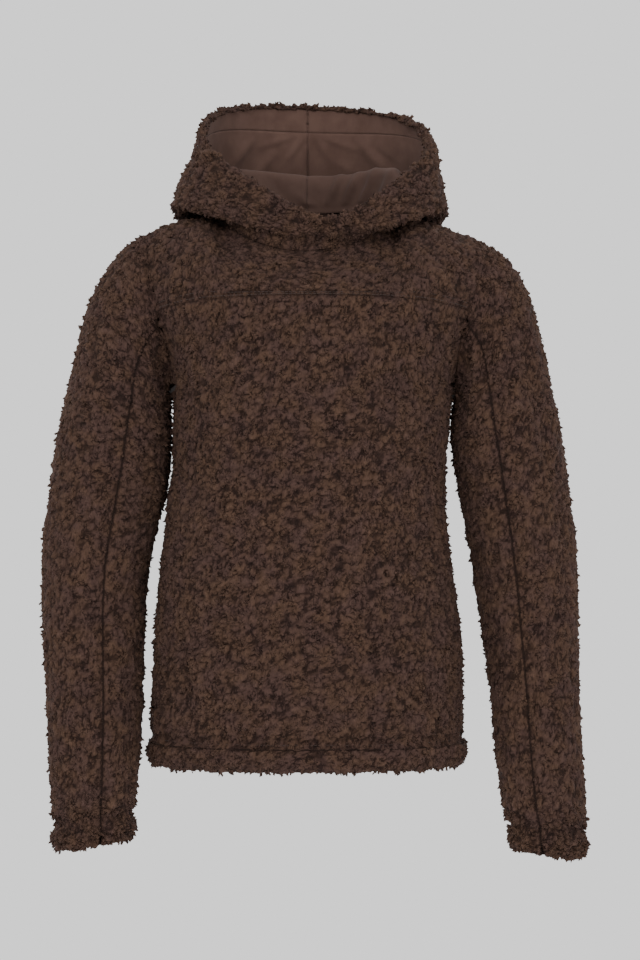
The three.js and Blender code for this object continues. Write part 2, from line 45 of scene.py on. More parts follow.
# Sizes of the cloth, in millimetres
CLOTH = 7.0  # the fleece from the knit's inside to the tips of the pile
HOOD_CLOTH = 6.0
ROLL_CLOTH = 2.0
HEM_CLOTH = 12.0
KNIT = 1.2  # thickness of the knit back that carries the pile
PILE_ROOT = 0.4  # the least pile left over the knit back in a crevice
LINING = 1.2
LINING_GAP = 0.5
LINING_SLACK = 0.9  # room behind the lining for its wrinkles
ROUNDNESS = 2 / 2.3  # exponent of the body's sections, a little squarer than an ellipse
HEM_DEPTH = 30.0  # how far the turned cloth reaches up inside the hem and cuffs
PILE_STEP = 2.22  # spacing of the points on the pile's surface
KNIT_STEP = 10.0
LINING_STEP = 3.4
CURL = 8.4  # size of one curl of the pile
CURL_DEPTH = 4.4  # how deep the crevices between curls go

# The body
UNDERARM_Z = -185.0
CHEST_SEAM_Z = -95.0
HEM_Z = -590.0
CHEST_EDGE_ANGLE = 64.5
CHEST_SEAM_RISE = 14.0
LEFT_SHOULDER = np.array([200.0, 1.0, -17.0])
RIGHT_SHOULDER = np.array([-176.0, 1.0, -4.0])
SHOULDER_RISE = 6.0
NECK_HALF_WIDTH = 96.0
NECK_Y = (-86.0, 4.0, 76.0)  # front, side, back
NECK_Z = (-31.0, 14.0, 22.0)


def table(names, rows):
    """A table's columns as arrays by name."""
    return dict(zip(names.split(), np.array(rows, float).T))


BODY = table(
    "z mid half front back cloth",
    [
        (-590, 0, 168, 116, 110, 9),
        (-585, 0, 174, 122, 116, HEM_CLOTH),
        (-573, 0, 177, 125, 119, HEM_CLOTH),
        (-562, 0, 175, 122, 116, HEM_CLOTH),
        (-556, 0, 170, 117, 111, 8),
        (-548, 0, 173, 120, 114, CLOTH),
        (-520, 0, 172, 120, 114, CLOTH),
        (-465, 1, 170.5, 119, 113, CLOTH),
        (-410, 0, 166, 117, 110, CLOTH),
        (-355, -1, 158.5, 114, 104, CLOTH),
        (-305, -1, 152.5, 112, 99, CLOTH),
        (-265, 2, 150, 113, 97, CLOTH),
        (-225, 4, 151, 116, 99, CLOTH),
        (-185, 6, 154, 119, 104, CLOTH),
        (-150, 7, 160, 121, 109, CLOTH),
        (-120, 7, 171, 121, 112, CLOTH),
        (-95, 7, 185, 119, 114, CLOTH),
    ],
)
SLEEVE_COLUMNS = "inX inZ outX outZ midY depth"
LEFT_SLEEVE = table(
    SLEEVE_COLUMNS,
    [
        (160, -185, 200, -17, 0, 57),
        (161, -189, 226, -33, 0, 60),
        (160.5, -196, 244, -64, 1, 62),
        (159, -208, 255, -104, 3, 62),
        (159, -230, 269, -165, 6, 62),
        (164, -266, 282, -228, 10, 61),
        (170, -308, 291, -288, 13, 59),
        (180, -372, 299, -362, 10, 56),
        (190, -440, 300, -438, 1, 53),
        (199, -510, 300, -512, -11, 50),
        (205, -585, 303, -590, -26, 47),
        (213, -640, 305, -648, -38, 45),
        (218, -652, 302, -658, -40, 42),
        (217, -665, 306, -671, -42, 45),
        (223, -679, 303, -684, -44, 42),
    ],
)
RIGHT_SLEEVE = table(
    SLEEVE_COLUMNS,
    [
        (148, -185, 176, -4, 0, 57),
        (149, -189, 207, -20, -1, 60),
        (149, -196, 232, -57, -1, 62),
        (149, -208, 247, -104, 0, 63),
        (149.5, -233, 262, -165, 2, 63),
        (152, -272, 276, -228, 4, 62),
        (160, -315, 285, -288, 5, 60),
        (172, -378, 293, -362, 1, 58),
        (176, -442, 291, -440, -9, 55),
        (177, -508, 286, -514, -22, 52),
        (180, -578, 281, -590, -38, 49),
        (184, -624, 277, -636, -48, 46),
        (187, -635, 273, -647, -50, 43),
        (183, -650, 277, -662, -53, 46),
        (187, -664, 274, -676, -55, 43),
    ],
)
SLEEVE_CLOTH = np.array([CLOTH] * 12 + [9, HEM_CLOTH, 10])
SLEEVE_SEAM = 5 / 24  # where the front sleeve seam lies, in turns from the underarm
CAP_SECTIONS = 3  # sections over which the armhole's form becomes the sleeve's tube
ARMHOLE_STEPS = 241
SEAM_GROOVE = 2.6  # depth of the groove along each sleeve seam
SLEEVE_CREASE = 4.5
ELBOW_FOLD = 3

HOOD = table(
    "xLeft xRight xFront vee yFront ySide yBack zFront zSide zBack lean",
    [
        (90, 90, 0, 0, -80, 4, 70, -31, 14, 22, 0),
        (94, 94, 4, 0.04, -80.2, 5, 72, -26.5, 35, 48, 1),
        (103, 102, 8, 0.08, -80.8, 7, 80, -22.5, 52, 64, 3),
        (116, 113, 10, 0.1, -81.6, 9, 93, -19, 46, 50, 3),
        (128, 125, 12, 0.08, -82.6, 11, 105, -16, 28, 0, 4),
        (141, 138, 14, 0.05, -83.8, 12, 126, -13, 17, -54, 2.5),
        (151, 145, 16, 0.1, -85, 14, 154, -10.3, 23, -42, 2),
        (147, 138, 17, 0.2, -86.2, 15, 166, -7.6, 46, 26, 3),
        (142, 125, 18, 0.3, -87.2, 16, 165, -5, 72, 88, 3),
        (141, 120, 19, 0.42, -87.8, 18, 162, -2.5, 88, 125, 4),
        (133, 116, 20, 0.5, -88, 20, 160, 0, 102, 156, 5),
    ],
)
ROLL_SECTION = 2
BAND_SECTION = 9
HOOD_END = 10

# Small numeric helpers


def mix(a, b, t):
    return a + (b - a) * t


def ease(t):
    k = np.clip(t, 0, 1)
    return k * k * (3 - 2 * k)


def hump(distance, width):
    return np.exp(-((distance / width) ** 2))


def rounded(value):
    return np.sign(value) * np.abs(value) ** ROUNDNESS


def read(places, values, x):
    """A smooth curve through a table's values, with no overshoot between them."""
    step = np.diff(places)
    rise = np.diff(values) / step
    slope = np.empty(len(values))
    slope[0], slope[-1] = rise[0], rise[-1]
    before, after = rise[:-1], rise[1:]
    same = before * after > 0
    slope[1:-1] = np.where(same, 2 * before * after / np.where(same, before + after, 1), 0)
    x = np.asarray(x, float)
    i = np.clip(np.searchsorted(places, x, side="left") - 1, 0, len(step) - 1)
    t = np.clip((x - places[i]) / step[i], 0, 1)
    start = (1 + 2 * t) * (1 - t) ** 2 * values[i] + t * (1 - t) ** 2 * step[i] * slope[i]
    end = t * t * (3 - 2 * t) * values[i + 1] - t * t * (1 - t) * step[i] * slope[i + 1]
    return start + end


def cubic(a, b, u, v, t):
    """A cubic from a to b that leaves along u and arrives along v."""
    t = t[..., None]
    start = a * (1 + 2 * t) * (1 - t) ** 2 + u * t * (1 - t) ** 2
    return start + b * t * t * (3 - 2 * t) - v * t * t * (1 - t)


def vectors(x, y, z):
    return np.stack(np.broadcast_arrays(x, y, z), axis=-1).astype(float)


def unit(v):
    return v / np.maximum(np.linalg.norm(v, axis=-1, keepdims=True), 1e-9)


# Forms: points in millimetres on the fleece's outer face, or for the hood on its inner face


def body_at(column, z):
    return read(BODY["z"], BODY[column], z)


def body_point(side, z, across):
    climb = np.maximum(0, (z - UNDERARM_Z) / (CHEST_SEAM_Z - UNDERARM_Z))
    angle = np.radians(mix(90, CHEST_EDGE_ANGLE, climb**0.7)) * across
    reach = body_at("front" if side < 0 else "back", z)
    bow = CHEST_SEAM_RISE * ease(climb) * (1 - across * across) if side < 0 else 0
    x = body_at("mid", z) + body_at("half", z) * rounded(np.sin(angle))
    return vectors(x, side * reach * rounded(np.cos(angle)), z + bow)


def level(front, middle, back, c):
    return middle - ((back - front) / 2) * c + ((front + back) / 2 - middle) * c * c


def neck_point(degrees):
    c = np.cos(np.radians(degrees))
    return vectors(NECK_HALF_WIDTH * np.sin(np.radians(degrees)), level(*NECK_Y, c), level(*NECK_Z, c))


def top_point(side, across):
    out = (np.abs(across) - 0.5) * 2
    turn = 180 * across if side < 0 else 180 - 180 * across
    neck = neck_point(90 * np.sign(across))
    shoulder = np.where((across > 0)[..., None], LEFT_SHOULDER, RIGHT_SHOULDER)
    line = mix(neck, shoulder, out[..., None])
    line[..., 2] += 4 * SHOULDER_RISE * out * (1 - out)
    return np.where((out <= 0)[..., None], neck_point(turn), line)


def yoke_point(side, across, up):
    """The cloth from the chest seam's height (up 0) to the neck and the shoulder line (up 1). It rolls over
    flat at the shoulder towards the armhole, and runs nearly straight near the neck."""
    low = body_point(side, np.full_like(up, CHEST_SEAM_Z), across)
    top = top_point(side, across)
    inward = ease(1 - (np.abs(across) - 0.35) / 0.25)
    width = top[..., 0] - low[..., 0]
    height = top[..., 2] - low[..., 2]
    depth = np.abs(top[..., 1] - low[..., 1])
    leave = vectors(width * mix(1.7, 0.9, inward), 0, mix(1.55, 1.1, inward) * height)
    arrive = vectors(
        width * mix(0.2, 0.8, inward),
        -side * mix(1.5, 0.9, inward) * depth,
        mix(0.12, 0.95, inward) * height,
    )
    return cubic(low, top, leave, arrive, up)


def armhole_point(side, turn):
    """The armhole from the underarm (0) up its front, over the shoulder (0.5) and down its back (1)."""
    edge = np.full_like(turn, side)
    quarter = turn * 4
    low_front = body_point(-1, mix(UNDERARM_Z, CHEST_SEAM_Z, np.clip(quarter, 0, 1)), edge)
    high_front = yoke_point(-1, edge, np.clip(quarter - 1, 0, 1))
    high_back = yoke_point(1, edge, np.clip(3 - quarter, 0, 1))
    low_back = body_point(1, mix(UNDERARM_Z, CHEST_SEAM_Z, np.clip(4 - quarter, 0, 1)), edge)
    parts = [quarter[..., None] <= k for k in (1, 2, 3)]
    return np.select(parts, [low_front, high_front, high_back], low_back)


def sleeve_fold(section, turn, side):
    away = np.minimum(np.abs(turn - SLEEVE_SEAM), np.abs(turn - (1 - SLEEVE_SEAM)))
    groove = SEAM_GROOVE * hump(away, 0.03) * ease(section)
    crease_turn = SLEEVE_SEAM + 0.1 + 0.012 * section * side
    strength = 1 if side > 0 else 0.5
    crease = SLEEVE_CREASE * hump(turn - crease_turn, 0.035) * hump(section - 4.2, 2.2) * strength
    elbow = ELBOW_FOLD * hump(section - (7 + 3 * turn), 0.35) * ease(1 - turn * 2.2)
    return groove + crease + elbow


def sleeve_point(side, sections, s, turn):
    places = np.arange(len(sections["inX"]), dtype=float)
    even = np.linspace(0, 1, ARMHOLE_STEPS)
    steps = np.linalg.norm(np.diff(armhole_point(side, even), axis=0), axis=1)
    along = np.concatenate([[0], np.cumsum(steps)]) / steps.sum()
    blend = np.sin(np.pi / 2 * np.minimum(1, s / CAP_SECTIONS))
    at = {name: read(places, column, s) for name, column in sections.items()}
    angle = 2 * np.pi * mix(np.interp(turn, even, along), turn, blend)
    inner = vectors(side * at["inX"], at["midY"], at["inZ"])
    outer = vectors(side * at["outX"], at["midY"], at["outZ"])
    middle = (inner + outer) / 2
    tube = middle - (outer - middle) * np.cos(angle)[..., None]
    tube[..., 1] -= at["depth"] * np.sin(angle)
    return mix(armhole_point(side, turn), tube, blend[..., None])


def hood_point(s, degrees):
    at = {name: read(np.arange(HOOD_END + 1.0), column, s) for name, column in HOOD.items()}
    c, sine = np.cos(np.radians(degrees)), np.sin(np.radians(degrees))
    frontness = np.maximum(0, c) ** 2
    half = np.where(sine > 0, at["xLeft"], at["xRight"])
    return vectors(
        half * sine * (1 - at["vee"] * frontness) + at["xFront"] * frontness,
        level(at["yFront"], at["ySide"], at["yBack"], c),
        level(at["zFront"], at["zSide"], at["zBack"], c) - at["lean"] * sine,
    )


def hood_cloth(s):
    return mix(HOOD_CLOTH, ROLL_CLOTH, hump(s - ROLL_SECTION, 1.8))


# Noise, seeded, over points in millimetres

RNG = np.random.default_rng(2107)
LATTICE = 32
VALUES = RNG.random((LATTICE, LATTICE, LATTICE))
JITTER = RNG.random((LATTICE, LATTICE, LATTICE, 3))


def noise(points, size, shift):
    """Smooth noise from -1 to 1, with bumps of about the given size."""
    p = points / size + shift
    base = np.floor(p).astype(int)
    f = ease(p - base)
    total = np.zeros(p.shape[:-1])
    for corner in np.ndindex(2, 2, 2):
        weight = np.prod(np.where(np.array(corner) == 1, f, 1 - f), axis=-1)
        i, j, k = ((base + corner) % LATTICE).reshape(-1, 3).T
        total += weight * VALUES[i, j, k].reshape(weight.shape)
    return total * 2 - 1


def curls(points, size):
    """How far inside its curl each point is: 0 in a crevice, towards 1 in the middle of a curl."""
    p = points / size
    base = np.floor(p).astype(int)
    nearest = np.full(p.shape[:-1], 9.0)
    second = np.full(p.shape[:-1], 9.0)
    for cell in np.ndindex(3, 3, 3):
        at = base + np.array(cell) - 1
        i, j, k = (at % LATTICE).reshape(-1, 3).T
        seed = JITTER[i, j, k].reshape(p.shape)
        distance = np.linalg.norm(at + seed - p, axis=-1)
        second = np.minimum(second, np.maximum(nearest, distance))
        nearest = np.minimum(nearest, distance)
    return second - nearest


def crevice(points, size, width, shift):
    """0 on the winding lines where smooth noise changes sign, and 1 away from them."""
    return ease(np.abs(noise(points, size, shift)) / width)


def noise_vectors(points, size, shifts):
    """A smooth random vector at each point, each of its parts from -1 to 1."""
    return np.stack([noise(points, size, shift) for shift in shifts], axis=-1)


# How the crevices wander: size of the bends, how far they go, and where each part's noise starts
WANDER = [
    (12, 4.5, (3.1, 7.7, 12.3)),
    (5.5, 1.8, (1.3, 5.9, 9.1)),
]
CREVICE_WIDTH = 0.34  # as a share of a curl
CREVICE_FLOOR = 0.24  # the pile's height in a crevice
WINDING = (7.0, 0.3, 23.0)  # size, width and noise start of the crevices that wind through the curls
FINER = (4.6, 0.35, 51.0)


def pile_height(points):
    """The pile's height from 0 to 1: curls parted by short crevices that wander."""
    bent = points
    for size, reach, shifts in WANDER:
        bent = bent + reach * noise_vectors(points, size, shifts)
    curl = ease(curls(bent, CURL) / CREVICE_WIDTH) ** 0.8
    broken = ease(0.5 + 1.1 * noise(points, 10, 17.0))
    winding = mix(1.0, crevice(bent, *WINDING), 0.75 * broken)
    finer = mix(1.0, crevice(bent, *FINER), 0.4)
    lift = 0.9 + 0.1 * noise(points, 16, 20.2)
    return np.clip(lift * mix(CREVICE_FLOOR, 1.0, curl) * winding * finer, 0, 1)


# Meshes


def grid_of(first, second):
    return np.meshgrid(first, second, indexing="ij")


def add_object(name, data):
    made = bpy.data.objects.new(name, data)
    bpy.context.scene.collection.objects.link(made)
    return made


def make_object(name, verts, quads, tris=None, attributes=()):
    """A mesh object from points in millimetres and arrays of faces."""
    mesh = bpy.data.meshes.new(name)
    tris = np.zeros((0, 3), int) if tris is None else tris
    mesh.vertices.add(len(verts))
    mesh.vertices.foreach_set("co", (verts * MM).astype(np.float32).ravel())
    corners = np.concatenate([quads.ravel(), tris.ravel()]).astype(np.int32)
    mesh.loops.add(len(corners))
    mesh.loops.foreach_set("vertex_index", corners)
    mesh.polygons.add(len(quads) + len(tris))
    starts = np.concatenate([np.arange(len(quads)) * 4, len(quads) * 4 + np.arange(len(tris)) * 3])
    mesh.polygons.foreach_set("loop_start", starts.astype(np.int32))
    for attribute, values in attributes:
        layer = mesh.attributes.new(attribute, "FLOAT", "POINT")
        layer.data.foreach_set("value", values.astype(np.float32))
    mesh.update(calc_edges=True)
    mesh.polygons.foreach_set("use_smooth", np.ones(len(mesh.polygons), bool))
    return add_object(name, mesh)


def grid_quads(rows, columns, start=0):
    i, j = grid_of(np.arange(rows - 1), np.arange(columns - 1))
    a = (start + i * columns + j).ravel()
    return np.stack([a, a + 1, a + columns + 1, a + columns], axis=1)


def normals_of(points):
    """Outward normals of a grid whose columns run counterclockwise seen from above as its rows go up."""
    across = np.gradient(points, axis=1)
    along = np.gradient(points, axis=0)
    return unit(np.cross(across, along))


def lengths(points, axis):
    """Distance of every grid point from the first one along an axis."""
    steps = np.linalg.norm(np.diff(points, axis=axis), axis=-1)
    zero = np.zeros_like(np.take(steps, [0], axis=axis))
    return np.cumsum(np.concatenate([zero, steps], axis=axis), axis=axis)


def ring_of(rows, columns):
    """The indices round a grid's edge."""
    return np.concatenate(
        [
            np.arange(columns),
            np.arange(1, rows) * columns + columns - 1,
            (rows - 1) * columns + np.arange(columns - 2, -1, -1),
            np.arange(rows - 2, 0, -1) * columns,
        ]
    )


def shell(name, outer, inner, painted_shade=None):
    """A closed thin cloth between two grids, with painted shade at each point if it has one."""
    rows, columns = outer.shape[:2]
    count = rows * columns
    verts = np.concatenate([outer.reshape(-1, 3), inner.reshape(-1, 3)])
    front = grid_quads(rows, columns)
    back = grid_quads(rows, columns, count)[:, ::-1]
    ring = ring_of(rows, columns)
    following = np.roll(ring, -1)
    rim = np.stack([ring, ring + count, following + count, following], axis=1)
    attributes = [] if painted_shade is None else [("painted_shade", np.concatenate([painted_shade.ravel(), painted_shade.ravel()]))]
    return make_object(name, verts, np.concatenate([front, back, rim]), None, attributes)


def area_of(points):
    a, b = points[:-1, :-1], points[:-1, 1:]
    c, d = points[1:, 1:], points[1:, :-1]
    first = np.linalg.norm(np.cross(c - a, b - a), axis=-1)
    second = np.linalg.norm(np.cross(d - a, c - a), axis=-1)
    return (first + second).sum() / 2


# Materials


def linear(red, green, blue):
    """A colour given in 8-bit display values, as the renderer's linear values."""
    share = np.array([red, green, blue]) / 255
    return tuple(np.where(share <= 0.04045, share / 12.92, ((share + 0.055) / 1.055) ** 2.4)) + (1.0,)


def set_inputs(node, values):
    for name, value in values.items():
        node.inputs[name].default_value = value


def new_material(name, roughness, sheen):
    made = bpy.data.materials.new(name)
    made.use_nodes = True
    shader = made.node_tree.nodes["Principled BSDF"]
    set_inputs(shader, {"Roughness": roughness, "Sheen Weight": sheen})
    set_inputs(shader, {"Sheen Roughness": 0.5, "Specular IOR Level": 0.15})
    return made, made.node_tree, shader


def place_noise(tree, scale, detail, stretch=(1, 1, 1), distortion=0.0):
    """The value of a noise texture in the garment's own place, in metres."""
    where = tree.nodes.new("ShaderNodeTexCoord")
    mapping = tree.nodes.new("ShaderNodeMapping")
    set_inputs(mapping, {"Scale": stretch})
    texture = tree.nodes.new("ShaderNodeTexNoise")
    set_inputs(texture, {"Scale": scale, "Detail": detail, "Distortion": distortion})
    tree.links.new(where.outputs["Object"], mapping.inputs["Vector"])
    tree.links.new(mapping.outputs["Vector"], texture.inputs["Vector"])
    return texture.outputs["Fac"]


def ramp(tree, source, stops):
    """Colours over a value, from stops that each hold a place and an 8-bit display colour."""
    made = tree.nodes.new("ShaderNodeValToRGB")
    elements = made.color_ramp.elements
    elements.remove(elements[1])
    elements[0].position = stops[0][0]
    elements[0].color = linear(*stops[0][1])
    for position, colour in stops[1:]:
        elements.new(position).color = linear(*colour)
    tree.links.new(source, made.inputs["Fac"])
    return made.outputs["Color"]


def blend_colours(tree, factor, first, second, mode="MIX"):
    node = tree.nodes.new("ShaderNodeMix")
    node.data_type = "RGBA"
    node.blend_type = mode
    if isinstance(factor, float):
        node.inputs["Factor"].default_value = factor
    else:
        tree.links.new(factor, node.inputs["Factor"])
    for socket, value in ((node.inputs[6], first), (node.inputs[7], second)):
        if isinstance(value, tuple):
            socket.default_value = value
        else:
            tree.links.new(value, socket)
    return node.outputs[2]


def add_bump(tree, shader, source, strength, distance):
    bump = tree.nodes.new("ShaderNodeBump")
    set_inputs(bump, {"Strength": strength, "Distance": distance})
    tree.links.new(source, bump.inputs["Height"])
    tree.links.new(bump.outputs["Normal"], shader.inputs["Normal"])


def number(tree, operation, first, second):
    """A math node over two values, each a socket or a number."""
    node = tree.nodes.new("ShaderNodeMath")
    node.operation = operation
    for socket, value in zip(node.inputs, (first, second)):
        if isinstance(value, (int, float)):
            socket.default_value = value
        else:
            tree.links.new(value, socket)
    return node.outputs["Value"]


# Colours of the pile from the bottom of a crevice to the tips: its own brown, with painted shade darkening
# it down into the crevices
PILE_COLOURS_AND_SHADE = [
    (0.0, (24, 15, 12)),
    (0.2, (43, 30, 25)),
    (0.4, (68, 52, 45)),
    (1.0, (79, 62, 54)),
]
COOL = (238, 228, 233)
WARM = (255, 244, 228)
COMBED = (1.0, 1.0, 0.62)  # the finest curls hang downwards a little
# painted shade: how far the winding lines between the curls darken the pile's colour
PAINTED_LINE_SHADE = 0.76
PATCH_START = 0.48  # the patch noise above which lines are drawn
PATCH_CONTRAST = 10.0


def winding_lines(tree, scale, width, stretch=(1, 1, 1)):
    """0 on the winding lines between the curls of the finest pile, and 1 away from them."""
    winding = place_noise(tree, scale, 1, stretch, 0.6)
    apart = number(tree, "ABSOLUTE", number(tree, "SUBTRACT", winding, 0.5), 0.0)
    return number(tree, "MINIMUM", number(tree, "DIVIDE", apart, width), 1.0)


def broken_lines(tree, lines, scale):
    """The same lines, left out in patches, so that they are short."""
    patches = place_noise(tree, scale, 1)
    drawn = number(tree, "MULTIPLY", number(tree, "SUBTRACT", patches, PATCH_START), PATCH_CONTRAST)
    drawn = number(tree, "MAXIMUM", number(tree, "MINIMUM", drawn, 1.0), 0.0)
    dark = number(tree, "MULTIPLY", number(tree, "SUBTRACT", 1.0, lines), drawn)
    return number(tree, "SUBTRACT", 1.0, dark)


def fleece_material():
    """Dark brown curly pile with painted shade darkening its crevices, with warm and cool patches and
    streaky fibres.
    """
    made, tree, shader = new_material("sherpa pile", 0.95, 0.12)
    set_inputs(shader, {"Sheen Tint": linear(150, 118, 104)})
    height = tree.nodes.new("ShaderNodeAttribute")
    height.attribute_name = "height"
    long_lines = broken_lines(tree, winding_lines(tree, 150, 0.08), 130)
    short_lines = broken_lines(tree, winding_lines(tree, 260, 0.06, COMBED), 110)
    lines = number(tree, "MULTIPLY", long_lines, short_lines)
    # painted shade of the crevice lines in the colour; the same lines also shape the bumps
    parted = number(tree, "ADD", number(tree, "MULTIPLY", lines, PAINTED_LINE_SHADE), 1 - PAINTED_LINE_SHADE)
    raised = number(tree, "MULTIPLY", height.outputs["Fac"], parted)
    # painted shade: the lower the pile, the darker its colour, as down in a crevice
    depth = ramp(tree, raised, PILE_COLOURS_AND_SHADE)
    tint = ramp(tree, place_noise(tree, 45, 3), [(0.38, COOL), (0.62, WARM)])
    tinted = blend_colours(tree, 1.0, depth, tint, "MULTIPLY")
    fibres = place_noise(tree, 800, 4, (1.0, 1.0, 0.4))
    streak = ramp(tree, fibres, [(0.3, (205, 205, 205)), (0.7, (255, 255, 255))])
    final = blend_colours(tree, 1.0, tinted, streak, "MULTIPLY")
    tree.links.new(final, shader.inputs["Base Color"])
    surface = number(tree, "ADD", parted, number(tree, "MULTIPLY", fibres, 0.35))
    add_bump(tree, shader, surface, 0.65, 0.0022)
    return made


def jersey_material(name, colour, low, high, has_painted_shade=False):
    """A plain knit with fine ribs of loops, its colour darkened by painted shade stored at the cloth's
    points where asked.
    """
    made, tree, shader = new_material(name, 0.9, 0.04)
    tint = ramp(tree, place_noise(tree, 60, 3), [(0.3, low), (0.7, high)])
    base = blend_colours(tree, 0.5, linear(*colour), tint)
    if has_painted_shade:
        # painted shade: the shade stored at the cloth's points darkens its colour
        place = tree.nodes.new("ShaderNodeAttribute")
        place.attribute_name = "painted_shade"
        base = blend_colours(tree, 1.0, base, place.outputs["Color"], "MULTIPLY")
    tree.links.new(base, shader.inputs["Base Color"])
    add_bump(tree, shader, place_noise(tree, 1400, 2, (1.0, 1.0, 0.5)), 0.35, 0.0003)
    return made


def thread_material():
    made, tree, shader = new_material("thread", 0.6, 0.1)
    tint = ramp(tree, place_noise(tree, 1500, 1), [(0.3, (34, 23, 19)), (0.7, (58, 43, 37))])
    tree.links.new(tint, shader.inputs["Base Color"])
    return made


FLEECE = fleece_material()
JERSEY = jersey_material("jersey lining", (80, 60, 53), (72, 53, 46), (91, 70, 62), True)
KNIT_BACK = jersey_material("knit back", (62, 46, 40), (54, 40, 34), (70, 53, 46))
THREAD = thread_material()


def finish_piece(piece, material):
    piece.data.materials.append(material)
    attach(piece, "root")
    return piece


# Pile


def near(distance, reach):
    """1 on a line and 0 beyond its reach."""
    return 1 - ease(distance / reach)


PRESSED_FLAT = 0.9  # how much of its height pressed pile loses
# painted light: pressed pile is painted lighter, lifting the painted shade of its crevices
PRESSED_PAINTED_LIGHT = 0.17  # how much lighter pressed pile is than a crevice
# painted shade: the dark line in the groove of a sleeve seam
SEAM_PAINTED_SHADE = 0.02  # the dark line of a sleeve seam
LEAST_HEIGHT = 0.04
SIDEWAYS = 1.6  # how far curls lean at random, in millimetres
DROOP = 1.2  # how far curls hang down
CUT_DEPTH = (0.8, 1.2)  # how deep a cut edge goes: a share of the crevices' depth, and millimetres
CUT_OUT = 0.9
TUFT_TURNS = np.array([0, 2 * math.pi / 3, 4 * math.pi / 3])
TUFT_SCATTER = 1.1
TUFT_LEAN = (0.8, 2.2)
TUFT_CURL = (0.1, 0.8)
TUFT_DROOP = 0.35

# Stout locks that bend over halfway and straight wisps, in millimetres. tip is how far the point reaches
# beyond the middle, as a share of the length
LOCKS = {"per_cm2": 1.3, "sunk": 1.8, "length": (4.5, 7.5), "thick": (1.4, 2.5), "tip": 0.14}
WISPS = {"per_cm2": 1.8, "sunk": 1.0, "length": (1.8, 3.4), "thick": (0.5, 1.0), "tip": 0.35}


def tufts(points, normals, heights, growth, count, kind):
    """Pile that stands out of the curls, each tuft three-sided and drawn to a point."""
    bent = kind is LOCKS
    flat_points, flat_normals = points.reshape(-1, 3), normals.reshape(-1, 3)
    weights = (heights.ravel() ** 2 + 0.02) * growth.ravel()
    chosen = RNG.choice(len(flat_points), size=count, p=weights / weights.sum())
    out = flat_normals[chosen]
    root = flat_points[chosen] - out * kind["sunk"] + RNG.uniform(-TUFT_SCATTER, TUFT_SCATTER, (count, 3))
    random = unit(RNG.normal(size=(count, 3)))
    lie = unit(random - out * (random * out).sum(axis=1, keepdims=True) + np.array([0, 0, -TUFT_DROOP]))
    length = RNG.uniform(*kind["length"], (count, 1))
    lean = RNG.uniform(*TUFT_LEAN, (count, 1))
    curl = RNG.uniform(*TUFT_CURL, (count, 1))
    middle = root + length * 0.55 * unit(out + lie * lean)
    tip = middle + length * kind["tip"] * unit(out * (1 - curl) + lie * (lean + curl))
    side = unit(np.cross(out, lie))
    thick = RNG.uniform(*kind["thick"], (count, 1))
    levels = ((root, 0.9), (middle, 1.0)) if bent else ((root, 1.0),)
    rings = [
        centre + thick * scale * (side * math.cos(turn) + out * math.sin(turn))
        for centre, scale in levels
        for turn in TUFT_TURNS
    ]
    verts = np.stack(rings + [tip], axis=1)
    # painted shade: a tuft takes the crevice shade of its root, darker at the root and lighter at the tip
    painted_shade = np.clip(heights.ravel()[chosen], 0.45, 1)[:, None] * np.linspace(0.75, 1.1, verts.shape[1])
    size = verts.shape[1]
    start = (np.arange(count) * size)[:, None, None]
    walls = np.array([[0, 1, 4, 3], [1, 2, 5, 4], [2, 0, 3, 5]] if bent else np.zeros((0, 4), int))
    top = size - 4
    ends = np.array([[top, top + 1, top + 3], [top + 1, top + 2, top + 3], [top + 2, top, top + 3]])
    quads, tris = (start + walls).reshape(-1, 4), (start + ends).reshape(-1, 3)
    return verts.reshape(-1, 3), quads, tris, painted_shade.ravel()


def pile_piece(name, points, normals, depth, flattened, growth, dark_sides):
    """The pile over a grid of points on its tips. depth is how deep its crevices go, in millimetres,
    flattened is 1 where it is pressed down, as along a seam, and growth is how thickly tufts stand. Its
    colour holds painted shade, darker down its crevices and lifted where pressed, and its two long sides
    are painted as the dark lines of seam grooves if dark_sides is true."""
    height = pile_height(points) * (1 - PRESSED_FLAT * flattened) + LEAST_HEIGHT
    sideways = noise_vectors(points, 6, (31.0, 37.0, 43.0))
    sideways -= normals * (sideways * normals).sum(axis=-1, keepdims=True)
    droop = np.array([0, 0, -1.0]) + normals * normals[..., 2:3]
    curly = height * (1 - flattened) * np.minimum(1, depth / CURL_DEPTH)
    moved = points - normals * (depth * (1 - height))[..., None]
    moved += (sideways * SIDEWAYS + droop * DROOP) * curly[..., None]
    rows, columns = points.shape[:2]
    area = area_of(points) / 100
    painted_shade = height + PRESSED_PAINTED_LIGHT * flattened
    # painted shade: the seam's groove is painted dark along both long sides
    if dark_sides:
        painted_shade[:, [0, -1]] = SEAM_PAINTED_SHADE
    verts, quads, tris, heights = [moved.reshape(-1, 3)], [grid_quads(rows, columns)], [], [painted_shade.ravel()]
    for kind in (LOCKS, WISPS):
        made = tufts(moved, normals, height * (1 - flattened), growth, int(area * kind["per_cm2"]), kind)
        start = sum(len(part) for part in verts)
        verts.append(made[0])
        quads.append(made[1] + start)
        tris.append(made[2] + start)
        heights.append(made[3])
    wall, skirt = border(moved, normals, depth, rows, columns, sum(len(part) for part in verts))
    verts.append(skirt)
    quads.append(wall)
    # painted shade: the cut edge's lower rim takes the darkest crevice colour
    heights.append(np.zeros(len(skirt)))
    verts, quads, tris, heights = (np.concatenate(parts) for parts in (verts, quads, tris, heights))
    # the "height" attribute carries the painted shade and light that set the pile's colour
    piece = make_object(name, verts, quads, tris, [("height", heights)])
    return finish_piece(piece, FLEECE)


